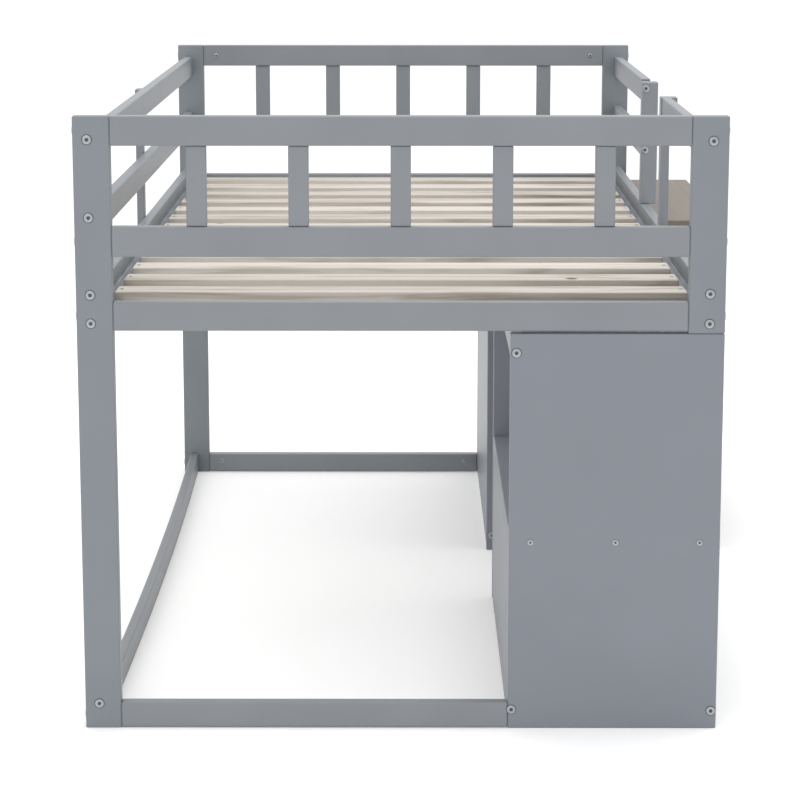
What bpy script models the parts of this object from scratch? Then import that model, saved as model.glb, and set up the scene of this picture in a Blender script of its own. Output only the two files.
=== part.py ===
"""Low loft bed with an open shelf unit, steps and a desk unit along its right side.

Metres, +Z up. X runs across the bed and Y along it. The origin is on the floor under the middle of
the whole object, desk included. "near" is the -Y end, "far" the +Y end, "left" the -X side and
"right" the +X side.
"""

import math

import bmesh
import bpy

# Driving dimensions, measured across from the bed's own centre line
WIDTH = 1.062
LENGTH = 2.000
HEIGHT = 1.030
GAP = 0.0003
DESK_FRONT = 0.676
# The desk stands out on one side, so the bed's centre line lies left of the origin
BED_CENTRE_X = -(DESK_FRONT - WIDTH / 2) / 2

POST_WIDTH = 0.060
POST_THICK = 0.025
RAIL_HEIGHT = 0.046
RAIL_THICK = 0.018
RAIL_INSET = 0.0145
EDGE_ROUND = 0.0015

# Level rails of the ends: underside and top
END_RAILS = {"top": (0.982, 1.030), "mid": (0.801, 0.850), "low": (0.679, 0.726)}
END_FLOOR_RAIL = (0.002, 0.044)
LONG_TOP_Z = 0.957
LEFT_MID_Z = 0.828
RIGHT_MID_Z = 0.843
HAND_RAIL_Z = 0.952
FLOOR_RAIL_HEIGHT = 0.045
FLOOR_RAIL_BOW = 0.010
BOW_STEPS = 16

# Side rails that carry the slats, each with a ledge along its inner face
SIDE_RAIL_LOW = 0.650
SIDE_RAIL_TOP = 0.745
LEDGE_LOW = 0.682
LEDGE_TOP = 0.7117
LEDGE_IN = 0.464

BALUSTER_COUNT = 5
BALUSTER_WIDTH = 0.033
BALUSTER_THICK = 0.018
BALUSTER_PITCH = 0.166
BALUSTER_INSET = 0.0035

SLAT_COUNT = 13
SLAT_WIDTH = 0.070
SLAT_THICK = 0.015
SLAT_LENGTH = 0.960
SLAT_PITCH = 0.143

# Units under the right side
PANEL_THICK = 0.018
BACK_THICK = 0.006
BAY_INNER = 0.180
BAY_FRONT = 0.529
END_PANEL_TOP = 0.6745
INNER_PANEL_TOP = SIDE_RAIL_LOW - GAP
SHELF_FAR_FACE = -0.162
DESK_NEAR_FACE = 0.210
SHELF_Z = 0.3135
BASE_Z = 0.020
BACK_LIFT = 0.004
BEAM_LOW = 0.627
BEAM_TOP = 0.673

DESK_SIDE_FRONT = 0.670
DESK_STEP_X = 0.5335
DESK_SIDE_TOP = 0.6947
DESK_TOP_Z = 0.695
DESK_THICK = 0.016
DESK_BACK_TOP = 0.640
TRAY_BACK = 0.200
TRAY_FRONT = 0.668
TRAY_Z = 0.612
TRAY_THICK = 0.018
RUNNER_WIDTH = 0.013

STEP_TOPS = (0.190, 0.370, 0.550)
STEP_THICK = 0.022
STEP_BACK = 0.440

# Uprights beside the way in, and the one outside the left rails
ENTRY_TOP = 0.998
FAR_ENTRY = (0.497, 0.530)
NEAR_ENTRY_STEM = (0.4975, 0.514)
NEAR_ENTRY_HEAD = (0.497, 0.528)
NEAR_ENTRY_SHOULDER = 0.955
ENTRY_DEPTH = 0.037
NEAR_ENTRY_START = -0.200
LEFT_UPRIGHT_WIDTH = 0.035
LEFT_UPRIGHT = (0.660, 1.000)

HALF_W = WIDTH / 2
HALF_L = LENGTH / 2
POST_IN = HALF_W - POST_WIDTH
POST_BACK = HALF_L - POST_THICK
RAIL_OUT = HALF_W - RAIL_INSET
RAIL_IN = RAIL_OUT - RAIL_THICK

for old in list(bpy.data.objects):
    bpy.data.objects.remove(old, do_unlink=True)


def material(name, colour, roughness):
    """A Principled BSDF of one colour."""
    made = bpy.data.materials.new(name)
    made.use_nodes = True
    shader = made.node_tree.nodes["Principled BSDF"]
    shader.inputs["Base Color"].default_value = (*colour, 1.0)
    shader.inputs["Roughness"].default_value = roughness
    shader.inputs["Metallic"].default_value = 0.0
    return made


GREY_PAINT = material("grey_painted_pine", (0.285, 0.300, 0.330), 0.45)
GREY_PANEL = material("grey_painted_board", (0.275, 0.290, 0.320), 0.50)
BARE_PINE = material("natural_pine", (0.680, 0.590, 0.470), 0.60)
TAN_BOARD = material("tan_board", (0.460, 0.380, 0.300), 0.55)


def add(name, bm, finish, rounding=EDGE_ROUND):
    """Turns a bmesh into a named object, with its long edges eased."""
    bmesh.ops.recalc_face_normals(bm, faces=bm.faces)
    mesh = bpy.data.meshes.new(name)
    bm.to_mesh(mesh)
    bm.free()
    mesh.materials.append(finish)
    part = bpy.data.objects.new(name, mesh)
    part.location = (BED_CENTRE_X, 0, 0)
    bpy.context.scene.collection.objects.link(part)
    if rounding > 0:
        ease = part.modifiers.new("eased_edges", "BEVEL")
        ease.width = rounding
        ease.segments = 1
        ease.limit_method = "ANGLE"
        ease.angle_limit = math.radians(40)
    return part


def box_mesh(low, high):
    """A closed box between two corners."""
    bm = bmesh.new()
    bmesh.ops.create_cube(bm, size=1.0)
    for vert in bm.verts:
        for axis in range(3):
            vert.co[axis] = high[axis] if vert.co[axis] > 0 else low[axis]
    return bm


def board(name, low, high, finish=GREY_PAINT, rounding=EDGE_ROUND):
    return add(name, box_mesh(low, high), finish, rounding)


def extruded(outline, along, length):
    """A prism from an outline of corner points, pushed along a direction."""
    bm = bmesh.new()
    face = bm.faces.new([bm.verts.new(point) for point in outline])
    pushed = bmesh.ops.extrude_face_region(bm, geom=[face])["geom"]
    moved = [item for item in pushed if isinstance(item, bmesh.types.BMVert)]
    offset = [component * length for component in along]
    bmesh.ops.translate(bm, verts=moved, vec=offset)
    return bm


def ends():
    """The two ends, with the sign of their Y."""
    return (("near", -1), ("far", 1))


def span(sign, first, second):
    """Two distances from the middle, as a low and a high coordinate on one side."""
    return sorted((sign * first, sign * second))


def posts():
    """Four corner posts: the right ones stand on the units' end panels."""
    for end, sign in ends():
        low_y, high_y = span(sign, HALF_L, POST_BACK)
        board(f"{end}_left_post", (-HALF_W, low_y, 0), (-POST_IN, high_y, HEIGHT))
        foot = END_PANEL_TOP + GAP
        board(f"{end}_right_post", (POST_IN, low_y, foot), (HALF_W, high_y, HEIGHT))


def end_frames():
    """Level rails and balusters of both ends."""
    reach = POST_IN - GAP
    for end, sign in ends():
        low_y, high_y = span(sign, HALF_L, POST_BACK)
        for level, (low_z, top_z) in END_RAILS.items():
            board(f"{end}_{level}_rail", (-reach, low_y, low_z), (reach, high_y, top_z))
        low_z, top_z = END_FLOOR_RAIL
        end_x = BAY_INNER - GAP
        board(f"{end}_floor_rail", (-reach, low_y, low_z), (end_x, high_y, top_z))
        outer = HALF_L - BALUSTER_INSET
        low_y, high_y = span(sign, outer, outer - BALUSTER_THICK)
        low_z = END_RAILS["mid"][1] + GAP
        top_z = END_RAILS["top"][0] - GAP
        for number in range(BALUSTER_COUNT):
            centre = (number - (BALUSTER_COUNT - 1) / 2) * BALUSTER_PITCH
            left = centre - BALUSTER_WIDTH / 2
            right = centre + BALUSTER_WIDTH / 2
            name = f"{end}_baluster_{number + 1}"
            board(name, (left, low_y, low_z), (right, high_y, top_z))


def side_rail(name, sign):
    """A deep rail with a ledge along its inner face, as one L-shaped length."""
    outline_xz = [
        (RAIL_OUT, SIDE_RAIL_LOW),
        (RAIL_OUT, SIDE_RAIL_TOP),
        (RAIL_IN, SIDE_RAIL_TOP),
        (RAIL_IN, LEDGE_TOP),
        (LEDGE_IN, LEDGE_TOP),
        (LEDGE_IN, LEDGE_LOW),
        (RAIL_IN, LEDGE_LOW),
        (RAIL_IN, SIDE_RAIL_LOW),
    ]
    start = -POST_BACK + GAP
    outline = [(sign * x, start, z) for x, z in outline_xz]
    add(name, extruded(outline, (0, 1, 0), 2 * (POST_BACK - GAP)), GREY_PAINT)


def long_rail(name, sign, start, end, low_z):
    """A level rail along one side."""
    low_x, high_x = span(sign, RAIL_IN, RAIL_OUT)
    board(name, (low_x, start, low_z), (high_x, end, low_z + RAIL_HEIGHT))


def left_side():
    """Guard rails, outside upright, side rail and the floor rail, which bows inwards."""
    reach = POST_BACK - GAP
    long_rail("left_top_guard_rail", -1, -reach, reach, LONG_TOP_Z)
    long_rail("left_mid_guard_rail", -1, -reach, reach, LEFT_MID_Z)
    side_rail("left_side_rail", -1)
    half = LEFT_UPRIGHT_WIDTH / 2
    low_z, top_z = LEFT_UPRIGHT
    board("left_guard_upright", (-HALF_W, -half, low_z), (-RAIL_OUT - GAP, half, top_z))

    outline = []
    for x_face in (RAIL_IN, RAIL_OUT):
        edge = []
        for step in range(BOW_STEPS + 1):
            along = -1 + 2 * step / BOW_STEPS
            bow = FLOOR_RAIL_BOW * (1 - along * along)
            edge.append((-x_face + bow, along * reach, 0.0))
        outline += edge if x_face == RAIL_IN else reversed(edge)
    rail = extruded(list(outline), (0, 0, 1), FLOOR_RAIL_HEIGHT)
    add("left_floor_rail", rail, GREY_PAINT)


def right_side():
    """Side rail, guard rails, and the uprights beside the way in."""
    reach = POST_BACK - GAP
    side_rail("right_side_rail", 1)
    foot = SIDE_RAIL_TOP + GAP

    far_end = DESK_NEAR_FACE + ENTRY_DEPTH
    low_x, high_x = FAR_ENTRY
    board("entry_post_far", (low_x, DESK_NEAR_FACE, foot), (high_x, far_end, ENTRY_TOP))
    long_rail("right_top_guard_rail", 1, far_end + GAP, reach, LONG_TOP_Z)
    long_rail("right_mid_guard_rail", 1, far_end + GAP, reach, RIGHT_MID_Z)

    stem_in, stem_out = NEAR_ENTRY_STEM
    head_in, head_out = NEAR_ENTRY_HEAD
    outline_xz = [
        (stem_in, foot),
        (stem_out, foot),
        (stem_out, NEAR_ENTRY_SHOULDER),
        (head_out, NEAR_ENTRY_SHOULDER),
        (head_out, ENTRY_TOP),
        (head_in, ENTRY_TOP),
        (head_in, NEAR_ENTRY_SHOULDER),
        (stem_in, NEAR_ENTRY_SHOULDER),
    ]
    outline = [(x, NEAR_ENTRY_START, z) for x, z in outline_xz]
    add("entry_post_near", extruded(outline, (0, 1, 0), ENTRY_DEPTH), GREY_PAINT, 0.0006)
    long_rail("right_hand_rail", 1, -reach, NEAR_ENTRY_START - GAP, HAND_RAIL_Z)


def slats():
    """Loose pine slats that rest on the ledges."""
    low_z = LEDGE_TOP + GAP
    for number in range(SLAT_COUNT):
        centre = (number - (SLAT_COUNT - 1) / 2) * SLAT_PITCH
        low = (-SLAT_LENGTH / 2, centre - SLAT_WIDTH / 2, low_z)
        high = (SLAT_LENGTH / 2, centre + SLAT_WIDTH / 2, low_z + SLAT_THICK)
        board(f"slat_{number + 1:02d}", low, high, BARE_PINE)


def shelf_unit():
    """Open unit at the near end: base board, shelf, low back and a rail along the top."""
    inner_face = -HALF_L + PANEL_THICK
    low = (BAY_INNER, -HALF_L, 0)
    board("shelf_end_panel", low, (HALF_W, inner_face, END_PANEL_TOP), GREY_PANEL)
    far_inner = SHELF_FAR_FACE - PANEL_THICK
    low = (BAY_INNER, far_inner, 0)
    board("shelf_inner_panel", low, (HALF_W, SHELF_FAR_FACE, INNER_PANEL_TOP), GREY_PANEL)

    start = inner_face + GAP
    end = far_inner - GAP
    back_x = BAY_INNER + 0.0005
    high = (BAY_FRONT, end, SHELF_Z + PANEL_THICK)
    board("shelf_mid_board", (back_x, start, SHELF_Z), high, GREY_PANEL)
    low = (back_x + BACK_THICK + 0.0005, start, BASE_Z)
    board("shelf_base_board", low, (BAY_FRONT, end, BASE_Z + PANEL_THICK), GREY_PANEL)
    high = (back_x + BACK_THICK, end, SHELF_Z - 0.0005)
    board("shelf_back_panel", (back_x, start, BACK_LIFT), high, GREY_PANEL)
    low = (BAY_INNER + 0.002, start, BEAM_LOW)
    high = (BAY_INNER + 0.002 + RAIL_THICK, end, BEAM_TOP)
    board("shelf_top_rail", low, high)


def desk_side(name, start, inner_top):
    """A side of the desk, stepped up in front of the bed to carry the desk top."""
    outline_xz = [
        (BAY_INNER, 0.0),
        (DESK_SIDE_FRONT, 0.0),
        (DESK_SIDE_FRONT, DESK_SIDE_TOP),
        (DESK_STEP_X, DESK_SIDE_TOP),
        (DESK_STEP_X, inner_top),
        (BAY_INNER, inner_top),
    ]
    outline = [(x, start, z) for x, z in outline_xz]
    add(name, extruded(outline, (0, 1, 0), PANEL_THICK), GREY_PANEL)


def desk_unit():
    """Desk at the far end: its top stands outside the bed, with a sliding tray below."""
    desk_side("desk_side_near", DESK_NEAR_FACE, INNER_PANEL_TOP)
    desk_side("desk_side_far", POST_BACK, END_PANEL_TOP)
    start = DESK_NEAR_FACE + PANEL_THICK
    end = POST_BACK
    low = (BAY_INNER + 0.0005, start + GAP, BACK_LIFT)
    high = (BAY_INNER + 0.0005 + BACK_THICK, end - GAP, DESK_BACK_TOP)
    board("desk_back_panel", low, high, GREY_PANEL)
    low = (DESK_STEP_X - 0.0005, DESK_NEAR_FACE + 0.0005, DESK_TOP_Z)
    high = (DESK_FRONT, POST_BACK + PANEL_THICK - 0.0005, DESK_TOP_Z + DESK_THICK)
    board("desk_top", low, high, TAN_BOARD)

    # The tray's own origin is on its line of travel, at the middle of the board
    length = end - start - 2 * RUNNER_WIDTH
    depth = TRAY_FRONT - TRAY_BACK
    half = (depth / 2, length / 2, TRAY_THICK / 2)
    tray = board("desk_tray", [-size for size in half], half, TAN_BOARD)
    middle_x = BED_CENTRE_X + (TRAY_BACK + TRAY_FRONT) / 2
    tray.location = (middle_x, (start + end) / 2, TRAY_Z + TRAY_THICK / 2)


def steps():
    """Treads fixed between the two units."""
    start = SHELF_FAR_FACE + GAP
    end = DESK_NEAR_FACE - GAP
    for number, top in enumerate(STEP_TOPS):
        low = (STEP_BACK, start, top - STEP_THICK)
        board(f"step_{number + 1}", low, (BAY_FRONT, end, top))


posts()
end_frames()
left_side()
right_side()
slats()
shelf_unit()
desk_unit()
steps()
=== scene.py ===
import math

import bmesh
import bpy
from mathutils import Matrix, Vector


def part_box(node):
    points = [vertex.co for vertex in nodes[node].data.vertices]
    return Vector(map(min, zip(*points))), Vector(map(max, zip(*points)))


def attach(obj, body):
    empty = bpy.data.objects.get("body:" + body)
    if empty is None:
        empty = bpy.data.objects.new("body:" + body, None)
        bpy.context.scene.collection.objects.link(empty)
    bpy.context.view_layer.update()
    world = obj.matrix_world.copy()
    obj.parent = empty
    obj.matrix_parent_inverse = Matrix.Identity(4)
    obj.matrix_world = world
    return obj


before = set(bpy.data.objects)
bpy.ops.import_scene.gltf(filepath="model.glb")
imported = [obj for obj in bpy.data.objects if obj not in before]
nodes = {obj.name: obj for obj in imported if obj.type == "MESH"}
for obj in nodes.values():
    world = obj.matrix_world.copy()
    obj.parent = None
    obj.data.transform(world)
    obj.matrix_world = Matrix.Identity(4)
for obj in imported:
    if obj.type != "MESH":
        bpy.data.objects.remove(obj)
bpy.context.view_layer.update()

# The bed's frame: posts, end rails, balusters, guard rails and treads. They are planed pine,
# sprayed with a satin cool grey paint. The paint levels well, so the grain under it only shows
# as a faint ripple, and it builds up slightly darker here and there.


def from_hex(text):
    """An sRGB hex colour as linear red, green, blue and alpha."""
    channels = [int(text[i : i + 2], 16) / 255 for i in (0, 2, 4)]
    linear = [c / 12.92 if c <= 0.04045 else ((c + 0.055) / 1.055) ** 2.4 for c in channels]
    return (*linear, 1.0)


def node(tree, kind, settings=(), **links):
    """Adds a node: settings are attributes, links are socket values or other nodes' outputs."""
    made = tree.nodes.new(kind)
    for name, value in dict(settings).items():
        setattr(made, name, value)
    for name, value in links.items():
        key = int(name[1:]) if name[1:].isdigit() else name.replace("_", " ")
        if isinstance(value, bpy.types.NodeSocket):
            tree.links.new(value, made.inputs[key])
        else:
            made.inputs[key].default_value = value
    return made


def blank(name):
    """A new material's tree and its Principled shader."""
    made = bpy.data.materials.new(name)
    made.use_nodes = True
    return made, made.node_tree, made.node_tree.nodes["Principled BSDF"]


def colours_between(tree, factor, dark, light, low=0.3, high=0.7):
    """A ramp between two colours."""
    ramp = node(tree, "ShaderNodeValToRGB", Fac=factor)
    ramp.color_ramp.elements[0].position = low
    ramp.color_ramp.elements[1].position = high
    ramp.color_ramp.elements[0].color = from_hex(dark)
    ramp.color_ramp.elements[1].color = from_hex(light)
    return ramp.outputs["Color"]


GRAIN_MM = 2.6
NOISE_WAVES = 4
PAINT_CLOUD_MM = 140


def painted(name, dark, light, along, ripple, roughness):
    """Satin paint on wood whose grain runs along one axis; ripple is the bump's depth in metres."""
    made, tree, shader = blank(name)
    place = node(tree, "ShaderNodeTexCoord").outputs["Object"]
    stretch = [1.0, 1.0, 1.0]
    if along is not None:
        stretch[along] = 0.03
    grain_place = node(tree, "ShaderNodeMapping", Vector=place, Scale=stretch)
    grain = node(tree, "ShaderNodeTexNoise", Vector=grain_place.outputs["Vector"],
                 Scale=1000 / GRAIN_MM / NOISE_WAVES, Detail=5.0, Roughness=0.6)
    cloud = node(tree, "ShaderNodeTexNoise", Vector=place, Scale=1000 / PAINT_CLOUD_MM, Detail=3.0)
    tree.links.new(colours_between(tree, cloud.outputs["Fac"], dark, light),
                   shader.inputs["Base Color"])
    bump = node(tree, "ShaderNodeBump", Height=grain.outputs["Fac"], Strength=0.35, Distance=ripple)
    tree.links.new(bump.outputs["Normal"], shader.inputs["Normal"])
    shader.inputs["Roughness"].default_value = roughness
    shader.inputs["IOR"].default_value = 1.5
    return made


PAINT_DARK = "787c81"
PAINT_LIGHT = "7c8085"
paint_along = [
    painted(f"satin_grey_paint_on_pine_{axis}", PAINT_DARK, PAINT_LIGHT, index, 0.0004, 0.42)
    for index, axis in enumerate("xyz")
]

# The posts take their own copy of the grey paint, a shade darker: painted shade for how the light
# falls on them, not a different paint.
shaded_post_paint = painted("satin_grey_paint_darkened_for_shade_on_posts", "73797e", "777d82", 2, 0.0004, 0.42)


def finish_with(name, made):
    """Gives a node of the frame its finish."""
    nodes[name].data.materials.clear()
    nodes[name].data.materials.append(made)


for name in nodes:
    low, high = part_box(name)
    size = high - low
    longest = max(range(3), key=lambda axis: size[axis])
    if not name.startswith(("slat_", "desk_", "shelf_")) or name == "shelf_top_rail":
        finish_with(name, shaded_post_paint if name.endswith("_post") else paint_along[longest])

# The units' panels are manufactured board, sprayed in the same grey. Board has no grain, so only
# the fine stipple of the sprayed coat shows.

grey_board = painted("satin_grey_paint_on_board", "747880", "777b83", None, 0.00012, 0.40)
for name in nodes:
    is_unit = name.startswith(("shelf_", "desk_"))
    if is_unit and name not in ("shelf_top_rail", "desk_top", "desk_tray"):
        finish_with(name, grey_board)

# The slats are bare planed pine, each cut from a different part of the log. Pale sapwood carries
# long darker growth lines, and now and then a small knot.

RING_MM = 14
SLAT_OFFSET = 3.7


def pine(name, shift, pale, dark):
    """Bare pine with growth lines running along X."""
    made, tree, shader = blank(name)
    place = node(tree, "ShaderNodeTexCoord").outputs["Object"]
    moved = node(tree, "ShaderNodeMapping", Vector=place, Location=(0.0, shift, shift * 0.4),
                 Scale=(0.06, 1.0, 1.0))
    rings = node(tree, "ShaderNodeTexNoise", Vector=moved.outputs["Vector"],
                 Scale=1000 / RING_MM / 2, Detail=4.0, Roughness=0.55, Distortion=0.8)
    fibres = node(tree, "ShaderNodeTexNoise", Vector=moved.outputs["Vector"],
                  Scale=420.0, Detail=3.0)
    knots = node(tree, "ShaderNodeTexVoronoi", Vector=place, Scale=5.0)
    near_knot = node(tree, "ShaderNodeValToRGB", Fac=knots.outputs["Distance"])
    near_knot.color_ramp.elements[0].position = 0.035
    near_knot.color_ramp.elements[0].color = from_hex("7a6248")
    near_knot.color_ramp.elements[1].position = 0.065
    near_knot.color_ramp.elements[1].color = (1.0, 1.0, 1.0, 1.0)
    wood = colours_between(tree, rings.outputs["Fac"], dark, pale, 0.34, 0.52)
    mixed = node(tree, "ShaderNodeMix", {"data_type": "RGBA", "blend_type": "MULTIPLY"},
                 n0=1.0, n6=wood, n7=near_knot.outputs["Color"])
    tree.links.new(mixed.outputs[2], shader.inputs["Base Color"])
    bump = node(tree, "ShaderNodeBump", Height=fibres.outputs["Fac"], Strength=0.3, Distance=0.0003)
    tree.links.new(bump.outputs["Normal"], shader.inputs["Normal"])
    shader.inputs["Roughness"].default_value = 0.62
    shader.inputs["IOR"].default_value = 1.5
    return made


SAPWOOD = (("c0b8af", "978d7f"), ("b8b0a6", "8f8678"), ("c4bdb4", "9d9486"))
slat_names = sorted(name for name in nodes if name.startswith("slat_"))
for number, name in enumerate(slat_names):
    pale, dark = SAPWOOD[number % len(SAPWOOD)]
    finish_with(name, pine(f"bare_pine_{number + 1:02d}", number * SLAT_OFFSET, pale, dark))

# The desk top and its sliding tray are board with a tan printed-wood face, matt to the touch.
# Its grain runs along the desk and is finer and calmer than the slats'.


def tan_face(name):
    made, tree, shader = blank(name)
    place = node(tree, "ShaderNodeTexCoord").outputs["Object"]
    stretched = node(tree, "ShaderNodeMapping", Vector=place, Scale=(1.0, 0.04, 1.0))
    lines = node(tree, "ShaderNodeTexNoise", Vector=stretched.outputs["Vector"],
                 Scale=90.0, Detail=6.0, Roughness=0.6, Distortion=0.4)
    tree.links.new(colours_between(tree, lines.outputs["Fac"], "685f54", "746a60"),
                   shader.inputs["Base Color"])
    bump = node(tree, "ShaderNodeBump", Height=lines.outputs["Fac"], Strength=0.2, Distance=0.0002)
    tree.links.new(bump.outputs["Normal"], shader.inputs["Normal"])
    shader.inputs["Roughness"].default_value = 0.5
    shader.inputs["IOR"].default_value = 1.5
    return made


tan_wood_face = tan_face("tan_wood_print_on_board")
for name in ("desk_top", "desk_tray"):
    finish_with(name, tan_wood_face)

# Cap bolts pull the end rails, side rails and panels together. They are zinc-plated steel with a
# domed rim and a shallow socket. Each sits in a counterbore a little wider than its head. The shade
# in that counterbore is painted as a darker ring round it, and the socket is painted with the same
# shade.

zinc, zinc_tree, zinc_shader = blank("zinc_plated_steel")
zinc_place = node(zinc_tree, "ShaderNodeTexCoord").outputs["Object"]
zinc_wear = node(zinc_tree, "ShaderNodeTexNoise", Vector=zinc_place, Scale=900.0, Detail=3.0)
zinc_tree.links.new(colours_between(zinc_tree, zinc_wear.outputs["Fac"], "8d9093", "b3b6b9"),
                    zinc_shader.inputs["Base Color"])
zinc_shader.inputs["Metallic"].default_value = 1.0
zinc_shader.inputs["Roughness"].default_value = 0.32

BOLT_RADIUS = 0.0075
BOLT_RISE = 0.0014
SOCKET_SHARE = 0.45
SOCKET_WALL = 0.0002
SOCKET_DEPTH = 0.0010
SCREW_RADIUS = 0.0045
CAP_RADIUS = 0.005
SLAT_SCREW_RADIUS = 0.0035
SUNK = 0.0025


def bolt_head(bm, centre, out, radius):
    """Adds one closed head: a bevelled disc with a hexagon socket, facing out."""
    turn = Vector(out).to_track_quat("Z", "Y").to_matrix().to_4x4()
    part = bmesh.new()
    bmesh.ops.create_cone(part, cap_ends=True, segments=24, radius1=radius, radius2=radius,
                          depth=SUNK + BOLT_RISE)
    top = max(part.faces, key=lambda face: face.calc_center_median().z)
    bmesh.ops.bevel(part, geom=list(top.edges), offset=0.0006, segments=2, profile=0.5,
                    affect="EDGES", material=-1)
    top = max(part.faces, key=lambda face: face.calc_center_median().z)
    bmesh.ops.inset_individual(part, faces=[top], thickness=(radius - 0.0006) * (1 - SOCKET_SHARE))
    rim_edges = list(top.edges)
    bmesh.ops.inset_individual(part, faces=[top], thickness=SOCKET_WALL)
    bmesh.ops.translate(part, verts=list(top.verts), vec=(0, 0, -SOCKET_DEPTH))
    # The socket's floor and walls take the second material, the painted shade of the recess.
    for face in {face for edge in rim_edges + list(top.edges) for face in edge.link_faces}:
        if face.calc_center_median().xy.length < radius * SOCKET_SHARE:
            face.material_index = 1
    bmesh.ops.translate(part, verts=part.verts, vec=(0, 0, (BOLT_RISE - SUNK) / 2))
    bmesh.ops.transform(part, matrix=Matrix.Translation(centre) @ turn, verts=part.verts)
    spare = bpy.data.meshes.new("head")
    part.to_mesh(spare)
    part.free()
    bm.from_mesh(spare)
    bpy.data.meshes.remove(spare)


# The dark disc round each head and the socket's floor are painted shade: the shadow inside the
# counterbore and the socket, given as a dark grey.
SHADE_RING_WIDTH = 0.0011
SHADE_DISC_RISE = 0.0002

recess_shade, recess_shade_tree, recess_shade_shader = blank("painted_shade_of_counterbore_and_socket")
recess_shade_place = node(recess_shade_tree, "ShaderNodeTexCoord").outputs["Object"]
recess_shade_mottle = node(recess_shade_tree, "ShaderNodeTexNoise", Vector=recess_shade_place, Scale=1500.0)
recess_shade_colour = colours_between(recess_shade_tree, recess_shade_mottle.outputs["Fac"], "3c3e42", "5a5d62")
recess_shade_tree.links.new(recess_shade_colour, recess_shade_shader.inputs["Base Color"])
recess_shade_shader.inputs["Roughness"].default_value = 0.85


def painted_shade_disc(bm, centre, out, radius):
    """Adds the thin dark disc that a head sits on: painted shade of its counterbore."""
    turn = Vector(out).to_track_quat("Z", "Y").to_matrix().to_4x4()
    place = Matrix.Translation(centre) @ turn @ Matrix.Translation((0, 0, SHADE_DISC_RISE / 2))
    bmesh.ops.create_cone(bm, cap_ends=True, segments=24, radius1=radius, radius2=radius,
                          depth=SHADE_DISC_RISE, matrix=place)


def hardware(name, places, radius=BOLT_RADIUS, made=zinc, body="bed", shape=bolt_head):
    """One object of several heads, each given by its point and the way it faces."""
    bm = bmesh.new()
    for centre, out in places:
        shape(bm, centre, out, radius)
    mesh = bpy.data.meshes.new(name)
    bm.to_mesh(mesh)
    bm.free()
    mesh.shade_smooth()
    mesh.set_sharp_from_angle(angle=math.radians(35))
    mesh.materials.append(made)
    # The second slot is the painted shade that the sockets take.
    mesh.materials.append(recess_shade)
    piece = bpy.data.objects.new(name, mesh)
    bpy.context.scene.collection.objects.link(piece)
    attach(piece, body)
    return piece


# Distances across the bed are given from its own centre line
bed_x = (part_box("near_left_post")[0].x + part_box("near_right_post")[1].x) / 2
near_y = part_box("near_left_post")[0].y
far_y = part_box("far_left_post")[1].y
FACE_BOLTS = (
    (-0.5075, 0.992), (-0.5075, 0.865), (-0.5075, 0.738), (-0.5075, 0.691), (-0.5075, 0.043),
    (0.5055, 0.990), (0.5055, 0.7405), (0.5055, 0.691),
    (0.190, 0.6425), (0.186, 0.033), (0.522, 0.031),
)
DESK_BOLTS = ((0.190, 0.6425), (0.186, 0.033), (0.522, 0.031))
FAR_BOLTS = tuple(
    (x, z) for x, z in FACE_BOLTS if not (x > 0.15 and z < 0.65)
) + ((0.5055, 0.866),)
desk_far_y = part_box("desk_side_far")[1].y
near_places = [(Vector((bed_x + x, near_y, z)), (0, -1, 0)) for x, z in FACE_BOLTS]
far_places = [(Vector((bed_x + x, far_y, z)), (0, 1, 0)) for x, z in FAR_BOLTS]
far_places += [(Vector((bed_x + x, desk_far_y, z)), (0, 1, 0)) for x, z in DESK_BOLTS]
hardware("near_end_bolts", near_places)
hardware("far_end_bolts", far_places)
# Under every head lies a dark disc a little wider than it: painted shade of the counterbore.
hardware("end_counterbore_painted_shade", near_places + far_places, BOLT_RADIUS + SHADE_RING_WIDTH, recess_shade,
         shape=painted_shade_disc)

# Long bolts run sideways through the posts into the ends of the end rails, so each post shows a
# column of heads on its outer side, one at the height of each rail.

RAIL_HEIGHTS = (1.006, 0.8255, 0.7025)
side_bolts = []
for end_y in (near_y + 0.0125, far_y - 0.0125):
    for height in RAIL_HEIGHTS + (0.023,):
        side_bolts.append((Vector((bed_x - 0.531, end_y, height)), (-1, 0, 0)))
    for height in RAIL_HEIGHTS:
        side_bolts.append((Vector((bed_x + 0.531, end_y, height)), (1, 0, 0)))
hardware("post_side_bolts", side_bolts)
# Dark discs under these heads too: painted shade of their counterbores.
hardware("post_side_counterbore_painted_shade", side_bolts, BOLT_RADIUS + SHADE_RING_WIDTH, recess_shade, shape=painted_shade_disc)

# Each bolt is drawn up by a barrel nut, a short cross-drilled cylinder let into the inner face of
# the rail a little way in from its end, where its slotted end can be turned with a screwdriver.

NUT_FROM_MIDDLE = 0.441
FLOOR_RAIL_NUT = 0.148

barrel_nuts = []
for end, face_y, out in (("near", near_y + 0.025, 1), ("far", far_y - 0.025, -1)):
    for height in RAIL_HEIGHTS:
        for x in (-NUT_FROM_MIDDLE, NUT_FROM_MIDDLE):
            barrel_nuts.append((Vector((bed_x + x, face_y, height)), (0, out, 0)))
    for x in (-NUT_FROM_MIDDLE, FLOOR_RAIL_NUT):
        barrel_nuts.append((Vector((bed_x + x, face_y, 0.028)), (0, out, 0)))
hardware("barrel_nuts", barrel_nuts, CAP_RADIUS)

# Small cam caps and screws close the panels' joints: a row at the shelf's height on the end
# panel, two bolts at the head of the far entry upright, and one low on the desk's near side.

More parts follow.
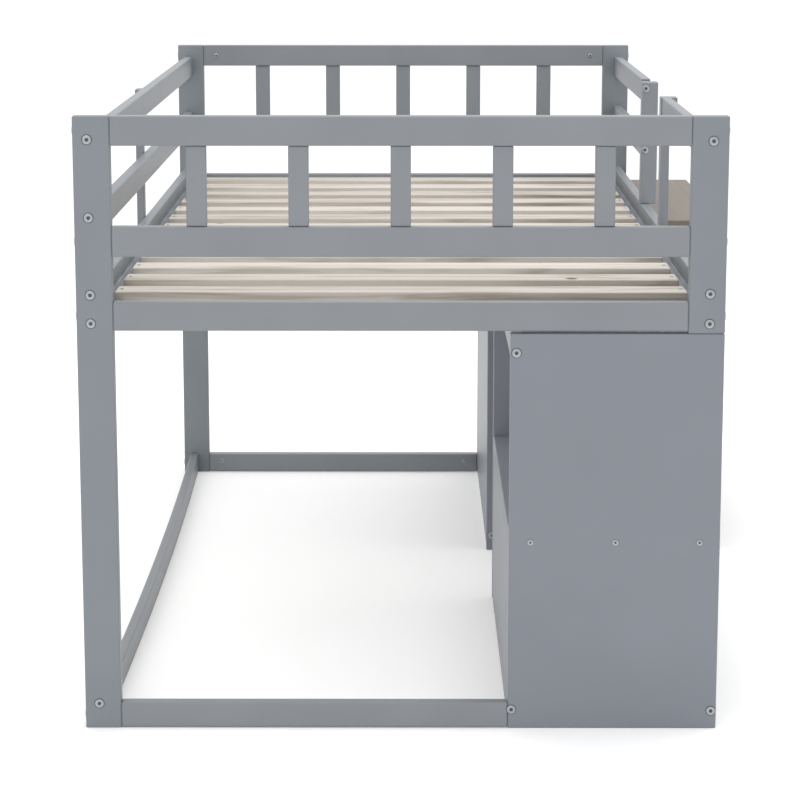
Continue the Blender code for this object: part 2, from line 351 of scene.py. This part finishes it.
CAM_X = (0.2156, 0.357, 0.497)
cams = [(Vector((bed_x + x, near_y, 0.3225)), (0, -1, 0)) for x in CAM_X]
hardware("shelf_cam_caps", cams, CAP_RADIUS)
entry_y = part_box("entry_post_far")[0].y
desk_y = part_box("desk_side_near")[0].y
inner = [(Vector((bed_x + 0.5045, entry_y, z)), (0, -1, 0)) for z in (0.985, 0.858)]
inner.append((Vector((bed_x + 0.186 + 0.006, desk_y, 0.032)), (0, -1, 0)))
hardware("entry_and_desk_bolts", inner)

# Two countersunk screws hold the outside upright to each of the three left rails, and two come
# through each unit's side into each end of every tread.

upright_low, upright_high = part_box("left_guard_upright")
upright_y = (upright_low.y + upright_high.y) / 2
screws = []
for height in (0.98, 0.851, 0.70):
    for side in (-0.009, 0.009):
        screws.append((Vector((upright_low.x, upright_y + side, height)), (-1, 0, 0)))
hardware("upright_screws", screws, SCREW_RADIUS)
inner_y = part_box("shelf_inner_panel")[0].y
desk_inner_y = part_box("desk_side_near")[1].y
tread_screws = []
for name in ("step_1", "step_2", "step_3"):
    low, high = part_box(name)
    height = (low.z + high.z) / 2
    for x in (low.x + 0.022, high.x - 0.022):
        tread_screws.append((Vector((x, inner_y, height)), (0, -1, 0)))
        tread_screws.append((Vector((x, desk_inner_y, height)), (0, 1, 0)))
hardware("tread_screws", tread_screws, SCREW_RADIUS)

# Every slat is screwed down to the ledge at both ends, with a countersunk head a finger's width
# in from the end.

slat_screws = []
for name in slat_names:
    low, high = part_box(name)
    middle = (low.y + high.y) / 2
    for x in (low.x + 0.009, high.x - 0.009):
        slat_screws.append((Vector((x, middle, high.z - 0.0005)), (0, 0, 1)))
hardware("slat_screws", slat_screws, SLAT_SCREW_RADIUS)

# The tray hangs from a pair of ball-bearing runners. The outer channel is screwed to the desk's
# side and the inner bar to the edge of the tray, and they are pressed from zinc-plated strip.

RUNNER_LENGTH = 0.40
RUNNER_HEIGHT = 0.035
CHANNEL_WALL = 0.0012
tray_low, tray_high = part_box("desk_tray")
near_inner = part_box("desk_side_near")[1].y
far_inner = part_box("desk_side_far")[0].y
runner_z = (tray_low.z + tray_high.z) / 2


def strip(name, low, high, body):
    """A bar of folded strip with eased edges, between two corners."""
    bm = bmesh.new()
    bmesh.ops.create_cube(bm, size=1.0)
    size = high - low
    bmesh.ops.scale(bm, vec=size, verts=bm.verts)
    bmesh.ops.translate(bm, vec=(low + high) / 2, verts=bm.verts)
    bmesh.ops.bevel(bm, geom=list(bm.edges), offset=0.0004, segments=2, profile=0.5,
                    affect="EDGES", material=-1)
    mesh = bpy.data.meshes.new(name)
    bm.to_mesh(mesh)
    bm.free()
    mesh.materials.append(zinc)
    piece = bpy.data.objects.new(name, mesh)
    bpy.context.scene.collection.objects.link(piece)
    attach(piece, body)
    return piece


for end, wall, inward in (("near", near_inner, 1), ("far", far_inner, -1)):
    outer_y = sorted((wall + inward * 0.0004, wall + inward * 0.006))
    inner_y = sorted((wall + inward * 0.0068, wall + inward * 0.0126))
    start = tray_high.x - 0.010 - RUNNER_LENGTH
    strip(f"{end}_runner_channel",
          Vector((start, outer_y[0], runner_z - RUNNER_HEIGHT / 2)),
          Vector((start + RUNNER_LENGTH, outer_y[1], runner_z + RUNNER_HEIGHT / 2)), "bed")
    strip(f"{end}_runner_bar",
          Vector((start, inner_y[0], runner_z - 0.008)),
          Vector((start + RUNNER_LENGTH, inner_y[1], runner_z + 0.008)), "desk_tray")

# A plain pale studio: a wide floor that runs off into a white background, one large soft light
# from the front and above, and weaker ones from the sides.

floor_mesh = bpy.data.meshes.new("studio_floor")
floor_bm = bmesh.new()
bmesh.ops.create_grid(floor_bm, x_segments=1, y_segments=1, size=30.0)
floor_bm.to_mesh(floor_mesh)
floor_bm.free()
floor = bpy.data.objects.new("studio_floor", floor_mesh)
bpy.context.scene.collection.objects.link(floor)
pale, pale_tree, pale_shader = blank("pale_studio_floor")
pale_shader.inputs["Base Color"].default_value = from_hex("fafafa")
pale_shader.inputs["Roughness"].default_value = 0.9
pale_shader.inputs["Emission Color"].default_value = (1.0, 1.0, 1.0, 1.0)
pale_shader.inputs["Emission Strength"].default_value = 0.1
floor_mesh.materials.append(pale)

world = bpy.data.worlds.new("white_studio")
world.use_nodes = True
world.node_tree.nodes["Background"].inputs["Color"].default_value = (1.0, 1.0, 1.0, 1.0)
world.node_tree.nodes["Background"].inputs["Strength"].default_value = 1.05
bpy.context.scene.world = world


def soft_light(name, place, aim, size, power):
    """A square area light turned towards a point."""
    data = bpy.data.lights.new(name, "AREA")
    data.energy = power
    data.size = size
    lamp = bpy.data.objects.new(name, data)
    lamp.location = place
    lamp.rotation_euler = (Vector(aim) - Vector(place)).to_track_quat("-Z", "Y").to_euler()
    bpy.context.scene.collection.objects.link(lamp)


soft_light("front_light", (-1.5, -5.0, 3.2), (0, 0, 0.5), 3.0, 30)
soft_light("overhead_light", (0.3, 0.2, 4.5), (0, 0, 0.5), 3.0, 90)
soft_light("side_light", (4.0, -1.0, 2.5), (0, 0, 0.5), 2.5, 15)
bpy.context.scene.view_settings.view_transform = "Standard"

CAMERA_ABOVE = 1.385
TILT_DOWN = 11.06
TURN_LEFT = 0.18
camera_data = bpy.data.cameras.new("camera")
camera_data.lens = 117.0
camera_data.sensor_width = 36.0
camera = bpy.data.objects.new("camera", camera_data)
camera.location = (bed_x + 0.012, -5.2, CAMERA_ABOVE)
camera.rotation_euler = (math.radians(90 - TILT_DOWN), 0, math.radians(TURN_LEFT))
bpy.context.scene.collection.objects.link(camera)
bpy.context.scene.camera = camera
